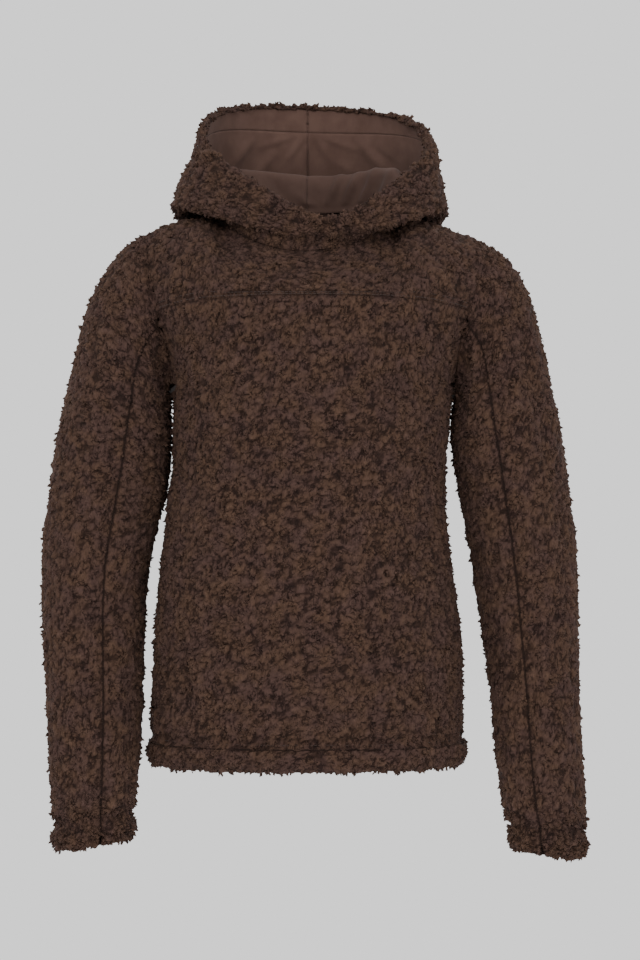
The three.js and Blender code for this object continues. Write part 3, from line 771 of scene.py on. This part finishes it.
def border(points, normals, depth, rows, columns, start):
    """The pile's cut edge all round a panel, from its surface down to the knit back."""
    ring = ring_of(rows, columns)
    inwards = np.gradient(points, axis=0), np.gradient(points, axis=1)
    away = np.zeros_like(points)
    away[0] -= unit(inwards[0][0])
    away[-1] += unit(inwards[0][-1])
    away[:, 0] -= unit(inwards[1][:, 0])
    away[:, -1] += unit(inwards[1][:, -1])
    sunk = points - normals * (depth[..., None] * CUT_DEPTH[0] + CUT_DEPTH[1]) + away * CUT_OUT
    skirt = sunk.reshape(-1, 3)[ring]
    low = start + np.arange(len(ring))
    wall = np.stack([ring, low, np.roll(low, -1), np.roll(ring, -1)], axis=1)
    return wall, skirt


def steps_for(length, step):
    return max(3, int(round(length / step)) + 1)


LIP_ROWS = 6  # rows of the pile round an open edge on which tufts stand thickly
RAGGED = 2.2  # how far the clumps of an open edge stand out and in


def turned_rows(points, normals, wall, depth, edge):
    """Points and normals of the cloth turned inside at an open edge: round the edge and up the inside."""
    first, second = (0, 1) if edge == "low" else (-1, -2)
    ahead = unit(points[first] - points[second])
    out = unit(normals[first] - ahead * (normals[first] * ahead).sum(axis=-1, keepdims=True))
    radius = wall / 2
    ragged = ahead * (RAGGED * noise(points[first], 8, 61.0))[..., None]
    rows, faces = [], []
    for turn in np.linspace(0, math.pi, LIP_ROWS + 3)[1:]:
        facing = out * math.cos(turn) + ahead * math.sin(turn)
        rows.append(points[first] - out * radius + facing * radius + ragged * math.sin(turn))
        faces.append(facing)
    for k in range(1, int(depth / PILE_STEP)):
        row = k if edge == "low" else -1 - k
        rows.append(points[row] - normals[row] * wall)
        faces.append(-normals[row])
    order = slice(None, None, -1 if edge == "low" else 1)
    return np.array(rows)[order], np.array(faces)[order]


PANELS = {}  # each fleece panel's grids, by name
SUNK_PILE = 1.5  # how far under its tips the pile's surface lies at a free edge
SEAM_REACH = 4.0  # how far from a seam its pile is pressed
SEAM_TURN = 14.0  # how far from a seam its shared directions reach
MEETING = 4.0  # how near each other the edges of two panels lie along their seam
LINE_PRESSED = 0.6
TURNED_PILE = 4.0  # depth of the crevices in the cloth turned inside
INSIDE_GROWTH = 0.1

# A free edge: how far the cloth is turned inside, its thickness there, how thickly tufts stand round it and
# how far its pile is raised, in millimetres
TURNED_EDGE = {"turned": HEM_DEPTH, "lip": 8.0, "growth": 0.9, "raised": 0.0}
HOOD_RIM = {"turned": 0.0, "lip": 13.0, "growth": 6.0, "raised": 3.2}
ALL = slice(None)
EDGE_SLICES = {"low": (0, ALL), "high": (-1, ALL), "first": (ALL, 0), "last": (ALL, -1)}

# Soft creases in the fleece: from (x0, z0) to (x1, z1) in millimetres, on the front (-1) or back (1)
CREASES = [
    # x0, z0, x1, z1, width, depth, side
    (-74, 29, -28, -2, 7, 3.5, -1),
    (-52, 10, -14, -16, 6, -2.5, -1),
    (40, -2, 84, 12, 7, 2.5, -1),
    (-158, -90, -151, -205, 7, 6.0, -1),
    (171, -98, 166, -205, 7, 6.0, -1),
    (-150, -250, -118, -300, 16, 3.0, -1),
    (-120, -420, -60, -446, 20, 2.2, -1),
    (96, -300, 142, -262, 16, 3.0, -1),
    (60, -468, 132, -440, 20, 2.4, -1),
    (-40, -540, 30, -528, 18, 1.6, -1),
    (-20, -150, 70, -170, 26, 1.8, -1),
    (186, -120, 190, -196, 9, 3.0, -1),
    (202, -150, 208, -236, 8, 2.4, -1),
    (-236, -330, -276, -300, 12, 3.0, -1),
    (-228, -372, -268, -360, 10, 2.2, -1),
    (262, -330, 292, -300, 12, 2.6, -1),
    (238, -392, 290, -372, 10, 2.4, -1),
    (-226, -560, -262, -545, 12, 1.8, -1),
    (236, -575, 282, -556, 12, 2.0, -1),
    (158, -200, 156, -330, 30, -2.4, -1),
    (158, -200, 156, -330, 30, -2.4, 1),
    (-150, -200, -152, -330, 30, -2.4, -1),
    (-150, -200, -152, -330, 30, -2.4, 1),
    (-80, -120, 60, -140, 26, 3.0, 1),
    (-138, -262, -70, -300, 18, 3.0, 1),
    (66, -296, 140, -256, 18, 3.2, 1),
    (-60, -330, 50, -344, 22, 2.6, 1),
    (-110, -470, 20, -500, 24, 2.0, 1),
    (226, -330, 286, -306, 12, 3.0, 1),
    (-216, -340, -272, -312, 12, 3.0, 1),
]


def panel(name, form, cloth, size, seams, ends=(), lines=(), rim=TURNED_EDGE):
    """Lays out a fleece panel. form(u, v) gives points on its outer face, cloth(u, v) its thickness, and
    size is its width and length. seams are its sewn edges, each with how much its pile is pressed, and ends
    its free edges, shaped as rim says. lines are pressed lines: an edge, a distance from it and a reach."""
    columns, rows = steps_for(size[0], PILE_STEP), steps_for(size[1], PILE_STEP)
    v, u = grid_of(np.linspace(0, 1, rows), np.linspace(0, 1, columns))
    points = form(u, v)
    normals = normals_of(points)
    wall = cloth(u, v)
    from_low, from_first = lengths(points, 0), lengths(points, 1)
    edges = {
        "low": from_low,
        "high": from_low[-1:] - from_low,
        "first": from_first,
        "last": from_first[:, -1:] - from_first,
    }
    flattened = np.zeros_like(u)
    for edge, pressed in seams.items():
        flattened = np.maximum(flattened, pressed * near(edges[edge], SEAM_REACH))
    for edge, distance, reach in lines:
        flattened = np.maximum(flattened, LINE_PRESSED * near(np.abs(edges[edge] - distance), reach))
    grids = {"points": points, "normals": normals, "wall": wall, "flattened": flattened}
    PANELS[name] = {**grids, "edges": edges, "seams": seams, "ends": ends, "rim": rim, "size": size}


def join_normals():
    """Gives panels that meet at a seam the same outward directions there, so that they stay closed."""
    rims = []
    for name, made in PANELS.items():
        for edge in made["seams"]:
            pick = EDGE_SLICES[edge]
            rims.append((name, edge, made["points"][pick], made["normals"][pick].copy()))
    places = np.concatenate([rim[2] for rim in rims])
    facings = np.concatenate([rim[3] for rim in rims])
    tree = KDTree(len(places))
    for index, place in enumerate(places):
        tree.insert(place, index)
    tree.balance()
    for name, edge, points, _ in rims:
        made = PANELS[name]
        found = [[hit[1] for hit in tree.find_range(at, MEETING)] for at in points]
        shared = unit(np.array([facings[indices].mean(axis=0) for indices in found]))
        weight = near(made["edges"][edge], SEAM_TURN)[..., None]
        across = shared[None] if edge in ("low", "high") else shared[:, None]
        made["normals"] = unit(made["normals"] * (1 - weight) + across * weight)


def beside_line(points, start, end):
    """Seen from the front, how far along a line each point lies, from 0 to 1, and how far beside it."""
    flat = points[..., [0, 2]] - np.array(start)
    run = np.array(end) - np.array(start)
    share = np.clip((flat @ run) / (run @ run), 0, 1)
    return share, np.linalg.norm(flat - share[..., None] * run, axis=-1)


def crease_depth(points):
    """How far the listed creases push the cloth in at each point, in millimetres."""
    total = np.zeros(points.shape[:-1])
    for x0, z0, x1, z1, width, depth, side in CREASES:
        share, away = beside_line(points, (x0, z0), (x1, z1))
        facing = ease(0.5 + side * points[..., 1] / 40)
        total += depth * hump(away, width) * np.sin(np.pi * (0.12 + 0.76 * share)) * facing
    return total


def build_panel(name):
    """A panel's knit back and its pile, with the cloth turned inside at its free ends."""
    made = PANELS[name]
    rim = made["rim"]
    points, normals, wall, flattened = (made[key] for key in ("points", "normals", "wall", "flattened"))
    points = points - normals * crease_depth(points)[..., None]
    depth = np.minimum(CURL_DEPTH, wall - KNIT - PILE_ROOT)
    growth = np.ones(points.shape[:2])
    for edge in made["ends"]:
        from_edge = made["edges"][edge].mean(axis=1)
        inside = int((from_edge < rim["lip"] / 2 - SUNK_PILE - rim["raised"]).sum())
        kept = slice(inside, None) if edge == "low" else slice(None, -inside)
        points, normals, wall, flattened, depth, growth = (
            grid[kept] for grid in (points, normals, wall, flattened, depth, growth)
        )
    picks = [
        np.unique(np.linspace(0, count - 1, steps_for(length, KNIT_STEP)).astype(int))
        for count, length in zip(points.shape[:2], made["size"][::-1])
    ]
    picked = np.ix_(*picks)
    base, out, thick = points[picked], normals[picked], wall[picked][..., None]
    back = shell(f"{name}_knit", base - out * (thick - KNIT), base - out * thick)
    finish_piece(back, KNIT_BACK)
    for edge in made["ends"]:
        row, order = (0, 1) if edge == "low" else (-1, -1)
        extra_points, extra_normals = turned_rows(points, normals, rim["lip"], rim["turned"], edge)
        extra_flat = np.broadcast_to(flattened[row], extra_points.shape[:2])
        extra_depth = np.full(extra_points.shape[:2], TURNED_PILE)
        extra_growth = np.full(extra_points.shape[:2], INSIDE_GROWTH)
        extra_growth[-LIP_ROWS:] = rim["growth"]
        extra = (extra_points, extra_normals, extra_flat, extra_depth, extra_growth[::order])
        points, normals, flattened, depth, growth = (
            np.concatenate([added, grid][::order])
            for added, grid in zip(extra, (points, normals, flattened, depth, growth))
        )
    pile = pile_piece(f"{name}_pile", points, normals, depth, flattened, growth, name.endswith("sleeve"))
    declare(name)


def declare(node):
    """Hides the CAD part of a panel's cloth."""
    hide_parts(node)


# The body


def front_form(u, v):
    return body_point(-1, mix(HEM_Z, CHEST_SEAM_Z, v), 2 * u - 1)


def front_yoke_form(u, v):
    return yoke_point(-1, 2 * u - 1, v)


BACK_SPLIT = 0.8  # share of the back's rows that lie below the chest seam's height


def back_form(u, v):
    across = 1 - 2 * u
    low = body_point(1, mix(HEM_Z, CHEST_SEAM_Z, np.clip(v / BACK_SPLIT, 0, 1)), across)
    high = yoke_point(1, across, np.clip((v - BACK_SPLIT) / (1 - BACK_SPLIT), 0, 1))
    return np.where((v < BACK_SPLIT)[..., None], low, high)


def front_cloth(u, v):
    return body_at("cloth", mix(HEM_Z, CHEST_SEAM_Z, v))


def plain_cloth(u, v):
    return np.full_like(u, CLOTH)


def back_cloth(u, v):
    return body_at("cloth", mix(HEM_Z, CHEST_SEAM_Z, np.clip(v / BACK_SPLIT, 0, 1)))


FRONT_SIZE = (470, 507)
YOKE_SIZE = (420, 112)
BACK_SIZE = (470, 630)
HEM_STITCH = 34.0  # from the hem's edge up to its stitches
HEM_LINE = ("low", HEM_STITCH, 4.0)


def body_panels():
    sides = {"high": 0.7, "first": 0.25, "last": 0.25}
    panel("front_body", front_form, front_cloth, FRONT_SIZE, sides, ("low",), [HEM_LINE])
    around = {"low": 0.9, "high": 0.7, "first": 0.25, "last": 0.25}
    stitched = [("low", 5.0, 3.0)]
    panel("front_yoke", front_yoke_form, plain_cloth, YOKE_SIZE, around, (), stitched)
    panel("back_body", back_form, back_cloth, BACK_SIZE, sides, ("low",), [HEM_LINE])


body_panels()


# The sleeves


CUFF_STITCH = 31.0
SLEEVE_LENGTH = 690
TOP_WIDTH = 215
UNDER_WIDTH = 150


def sleeve_panel(name, side, sections, first_turn, last_turn, width):
    """A sleeve's upper or under panel, between two turns round the sleeve from its underarm."""
    top = len(sections["inX"]) - 1
    places = np.arange(top + 1.0)

    def form(u, v):
        share = 1 - u if side > 0 else u
        turn = mix(last_turn, first_turn, share)
        turn = turn % 1.0 if last_turn > 1 else turn
        s = (1 - v) * top
        points = sleeve_point(side, sections, s, turn)
        out = normals_of(points)
        return points - out * (sleeve_fold(s, turn, side) * ease(s))[..., None]

    def cloth(u, v):
        return read(places, SLEEVE_CLOTH, (1 - v) * top)

    pressed = {"high": 0.3, "first": 0.8, "last": 0.8}
    panel(name, form, cloth, (width, SLEEVE_LENGTH), pressed, ("low",), [("low", CUFF_STITCH, 4.0)])


for label, side, sections in (("left", 1, LEFT_SLEEVE), ("right", -1, RIGHT_SLEEVE)):
    sleeve_panel(f"{label}_top_sleeve", side, sections, SLEEVE_SEAM, 1 - SLEEVE_SEAM, TOP_WIDTH)
    sleeve_panel(f"{label}_under_sleeve", side, sections, 1 - SLEEVE_SEAM, 1 + SLEEVE_SEAM, UNDER_WIDTH)


# The hood


COARSE_ROWS = 20
COARSE_ANGLE = 18  # degrees; the coarse grid passes the hood's full turn by one step at each end
COARSE_COLUMNS = 22
SOFTENED = 3
JUST_INSIDE = 0.001


def hood_directions(s, degrees):
    """The hood's outward directions, softened along its rolls as in its solids."""
    coarse_s = np.linspace(0, HOOD_END, COARSE_ROWS + 1)
    coarse_d = np.linspace(-COARSE_ANGLE, 360 + COARSE_ANGLE, COARSE_COLUMNS + 1)
    sections, angles = grid_of(coarse_s, coarse_d)
    directions = normals_of(hood_point(sections, angles))
    for _ in range(SOFTENED):
        padded = np.concatenate([directions[:1], directions, directions[-1:]])
        directions = unit(2 * directions + padded[:-2] + padded[2:])
    i = np.clip(s / HOOD_END * COARSE_ROWS, 0, COARSE_ROWS - JUST_INSIDE)
    j = np.clip((degrees + COARSE_ANGLE) / COARSE_ANGLE, 0, COARSE_COLUMNS - JUST_INSIDE)
    i0, j0 = i.astype(int), j.astype(int)
    a, b = (i - i0)[..., None], (j - j0)[..., None]
    low = mix(directions[i0, j0], directions[i0, j0 + 1], b)
    high = mix(directions[i0 + 1, j0], directions[i0 + 1, j0 + 1], b)
    return unit(mix(low, high, a))


# Wrinkles and rolls of the lining, as ridges seen from the front: from (x0, z0) to (x1, z1) over the hood's
# sections low to high
WRINKLES = [
    # x0, z0, x1, z1, width, rise, low, high
    (-56, 66, -4, 64, 6, 1.0, 1.0, 3.0),
    (66, 64, 112, 58, 8, 6.0, 1.0, 3.0),
    (38, 62, 24, 34, 4.2, 4.2, 0.3, 2.4),
    (57, 62, 43, 32, 4.4, 5.0, 0.3, 2.4),
    (77, 62, 61, 30, 4.6, 4.6, 0.3, 2.4),
    (97, 60, 83, 34, 4.8, 4.0, 0.3, 2.4),
    (-70, 54, -26, 26, 5, 3.6, 0.3, 2.4),
    (-12, 42, 20, 16, 5, 3.2, 0.3, 2.4),
    (-4, 60, -2, 20, 2.4, 2.0, 0.3, 2.4),
    (-40, 60, -24, 36, 4, -2.4, 0.3, 2.4),
    (-2, 122, -26, 92, 3.2, 2.6, 7.0, 9.0),
    (8, 122, 30, 88, 3.2, 2.8, 7.0, 9.0),
    (0, 118, -9, 76, 2.6, 2.6, 7.0, 9.0),
    (3, 118, 6, 74, 2.2, 2.2, 7.0, 9.0),
    (14, 121, 58, 104, 3.0, 2.0, 7.0, 9.0),
    (-16, 121, -58, 106, 3.0, 2.0, 7.0, 9.0),
    (60, 114, 88, 80, 5, 3.4, 7.0, 9.0),
    (76, 104, 104, 78, 4, -2.6, 7.0, 9.0),
    (-66, 112, -94, 76, 5, 3.2, 7.0, 9.0),
    (-40, 100, -62, 72, 4.5, 2.4, 7.0, 9.0),
    (34, 92, 62, 70, 5, 2.4, 7.0, 9.0),
    (-89, 134, -88, 118, 1.8, 0.9, 9.0, 10.0),
    (-81, 136, -80, 119, 1.8, 0.8, 9.0, 10.0),
    (-54, 140, -53, 122, 1.8, 0.7, 9.0, 10.0),
    (48, 140, 50, 124, 1.8, 0.7, 9.0, 10.0),
]


def wrinkle_rise(s, points):
    """How far the wrinkles lift the lining at each point, in millimetres."""
    total = np.zeros(points.shape[:-1])
    for x0, z0, x1, z1, width, rise, low, high in WRINKLES:
        share, away = beside_line(points, (x0, z0), (x1, z1))
        there = (s >= low) & (s <= high) & (points[..., 1] > 0)
        total += rise * hump(away, width) * np.sin(np.pi * (0.15 + 0.7 * share)) * there
    return total


RIM_SECTION = 9.88  # where the facing ends, inside the roll of the fleece
HOOD_SIZE = (440, 330)
LINING_WIDTH = 420
SECTION_LENGTH = 38  # about how long the lining is from one section to the next
LINING_SEAM = 9  # how far from a seam the lining is drawn in
DRAWN_IN = 0.8


def hood_place(start, u, v):
    """The section and the angle, in degrees, of a point on the half that begins at start."""
    return v * HOOD_END, start + 180 * u


def hood_fleece(label, start):
    def form(u, v):
        s, degrees = hood_place(start, u, v)
        return hood_point(s, degrees) + hood_directions(s, degrees) * hood_cloth(s)[..., None]

    def cloth(u, v):
        return hood_cloth(v * HOOD_END)

    pressed = {"low": 0.8, "first": 0.6, "last": 0.6}
    panel(f"{label}_hood", form, cloth, HOOD_SIZE, pressed, ("high",), rim=HOOD_RIM)


def hood_jersey(node, start, low, high):
    """The lining or the facing band of one half, from one section to another, with painted shade in its
    hollows.
    """
    rows = steps_for((high - low) * SECTION_LENGTH, LINING_STEP)
    columns = steps_for(LINING_WIDTH, LINING_STEP)
    v, u = grid_of(np.linspace(low, high, rows) / HOOD_END, np.linspace(0, 1, columns))
    s, degrees = hood_place(start, u, v)
    points = hood_point(s, degrees)
    out = hood_directions(s, degrees)
    seam = ease(np.minimum(u, 1 - u) * LINING_WIDTH / LINING_SEAM)
    ripple = 0.5 * noise(points * np.array([1.0, 0.5, 0.5]), 18, 4.4) * seam
    rise = wrinkle_rise(s, points) + ripple - DRAWN_IN * (1 - seam)
    surface = points - out * (LINING_GAP + LINING_SLACK + rise)[..., None]
    # painted shade: darker deep in the neck and in the hollow behind the roll
    painted_shade = 1 - 0.36 * hump(s - 0.8, 1.5) - 0.17 * hump(s - 7.4, 0.8)
    piece = shell(f"{node}_jersey", surface, surface - out * LINING, painted_shade)
    finish_piece(piece, JERSEY)
    declare(node)


for label, start in (("left", 0), ("right", 180)):
    hood_fleece(label, start)
    hood_jersey(f"{label}_hood_lining", start, 0, BAND_SECTION)
    hood_jersey(f"{label}_hood_facing", start, BAND_SECTION, RIM_SECTION)
join_normals()
for panel_name in PANELS:
    build_panel(panel_name)


# Stitches


STITCH = 3.2
STITCH_GAP = 1.0
STITCH_SINK = 2.6  # how deep a stitch lies under the tips of the pile
THREAD_RADIUS = 0.38
THREAD_SIDES = 6


def stitches(name, path, normals):
    """A row of thread stitches along a path, each a short six-sided length of thread."""
    along = lengths(path[:, None, :], 0)[:, 0]
    starts = np.arange(0.5, along[-1] - STITCH, STITCH + STITCH_GAP)
    verts, quads = [], []
    for start in starts:
        ends = []
        for at in (start, start + STITCH):
            point = np.array([np.interp(at, along, path[:, k]) for k in range(3)])
            out = unit(np.array([np.interp(at, along, normals[:, k]) for k in range(3)]))
            ends.append((point - out * STITCH_SINK, out))
        direction = unit(ends[1][0] - ends[0][0])
        base = len(verts)
        for point, out in ends:
            side = np.cross(direction, out)
            for turn in range(THREAD_SIDES):
                angle = turn * 2 * math.pi / THREAD_SIDES
                verts.append(point + THREAD_RADIUS * (side * math.cos(angle) + out * math.sin(angle)))
        far = base + THREAD_SIDES
        for turn in range(THREAD_SIDES):
            following = (turn + 1) % THREAD_SIDES
            quads.append([base + turn, base + following, far + following, far + turn])
    finish_piece(make_object(name, np.array(verts), np.array(quads)), THREAD)


HEM_SHARE = HEM_STITCH / FRONT_SIZE[1]
PATH_POINTS = 400
BESIDE = 0.002  # the rows just below and above a path, which give its outward directions
STITCH_LINES = [
    # name, form, share of the form's height
    ("chest_stitches_low", front_yoke_form, 0.022),
    ("chest_stitches_high", front_yoke_form, 0.06),
    ("front_hem_stitches", front_form, HEM_SHARE),
    ("back_hem_stitches", back_form, HEM_SHARE * BACK_SPLIT),
]


def stitch_line(name, form, height):
    rows = np.array([height - BESIDE, height, height + BESIDE])
    v, u = grid_of(rows, np.linspace(0.01, 0.99, PATH_POINTS))
    points = form(u, v)
    stitches(name, points[1], normals_of(points)[1])


for line in STITCH_LINES:
    stitch_line(*line)


# Stage, lights and camera


FLOOR_Z = -1380
FLOOR_REACH = 3000
STUDIO_LIGHT = 1.22
LIGHTS = [
    # name, place, aim, size, power
    ("key", (-1.0, -2.6, 1.3), (0, 0, -0.25), 1.4, 40),
    ("fill", (1.5, -2.4, 0.2), (0, 0, -0.3), 1.6, 20),
    ("bounce", (0.0, -2.0, -1.3), (0, 0, -0.4), 1.6, 12),
    ("back left", (1.9, 2.2, 0.9), (0, 0, -0.25), 1.6, 26),
    ("back right", (-1.9, 2.2, 0.5), (0, 0, -0.3), 1.6, 20),
]
CAMERA_PLACE = (0.0143, -3.0, -0.277)
SENSOR_WIDTH = 36
FOCAL_LENGTH = 102.3


def area_light(name, place, aim, size, power):
    light = bpy.data.lights.new(name, "AREA")
    light.shape = "SQUARE"
    light.size = size
    light.energy = power
    made = add_object(name, light)
    made.location = place
    direction = np.array(aim) - np.array(place)
    made.rotation_euler = (
        math.atan2(math.hypot(direction[0], direction[1]), -direction[2]),
        0,
        math.atan2(direction[0], -direction[1]) + math.pi,
    )


def stage():
    corners = [(-1, -1), (1, -1), (1, 1), (-1, 1)]
    verts = np.array([(x * FLOOR_REACH, y * FLOOR_REACH, FLOOR_Z) for x, y in corners], float)
    floor = make_object("floor", verts, np.array([[0, 1, 2, 3]]))
    pale = bpy.data.materials.new("pale floor")
    pale.use_nodes = True
    shader = pale.node_tree.nodes["Principled BSDF"]
    set_inputs(shader, {"Base Color": (0.9, 0.9, 0.9, 1), "Roughness": 0.9})
    floor.data.materials.append(pale)


def lighting():
    world = bpy.data.worlds.new("white studio")
    world.use_nodes = True
    background = world.node_tree.nodes["Background"]
    set_inputs(background, {"Color": (1, 1, 1, 1), "Strength": STUDIO_LIGHT})
    bpy.context.scene.world = world
    for light in LIGHTS:
        area_light(*light)


def camera():
    lens = bpy.data.cameras.new("camera")
    lens.sensor_width = SENSOR_WIDTH
    lens.lens = FOCAL_LENGTH
    made = add_object("camera", lens)
    made.location = CAMERA_PLACE
    made.rotation_euler = (math.pi / 2, 0, 0)
    bpy.context.scene.camera = made


stage()
lighting()
camera()
